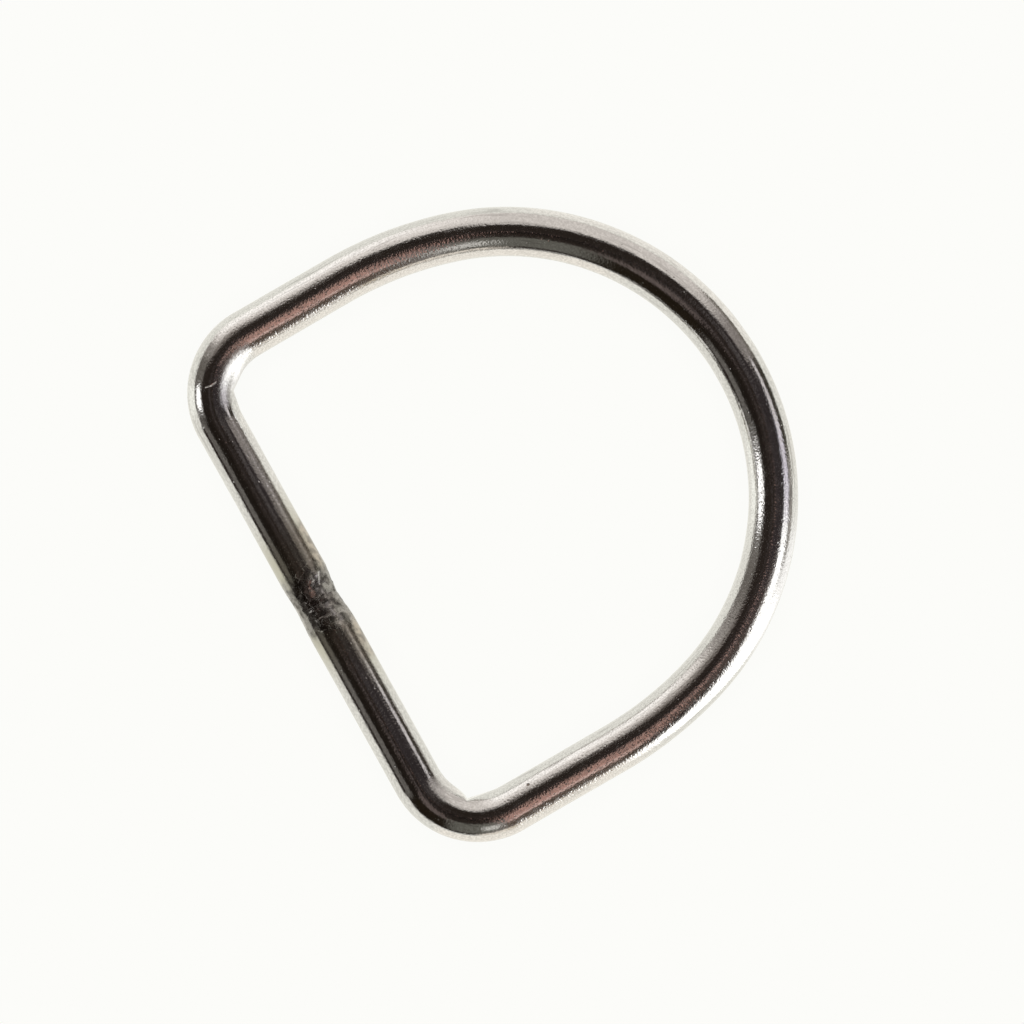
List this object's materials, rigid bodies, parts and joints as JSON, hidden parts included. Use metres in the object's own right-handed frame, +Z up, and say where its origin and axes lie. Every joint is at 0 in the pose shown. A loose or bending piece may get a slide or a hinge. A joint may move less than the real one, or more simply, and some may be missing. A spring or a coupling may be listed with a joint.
{
  "type": "d ring",
  "caption": "D-shaped ring of round polished stainless-steel wire, with a straight bar for a strap, a rounded bow for a hook or shackle, and a ground butt weld in the bar.",
  "frame": {"origin": "on the surface the ring lies on, under the middle of its outline", "axes": "+Z up through the thickness of the flat ring, +X along the straight bar, +Y from the bar towards the bow"},
  "size_m": [0.0602, 0.0538, 0.005],
  "materials": {
    "d_ring": "polished stainless steel, lightly tumbled"
  },
  "bodies": {
    "root": {"d_ring": "d_ring"}
  },
  "joints": []
}
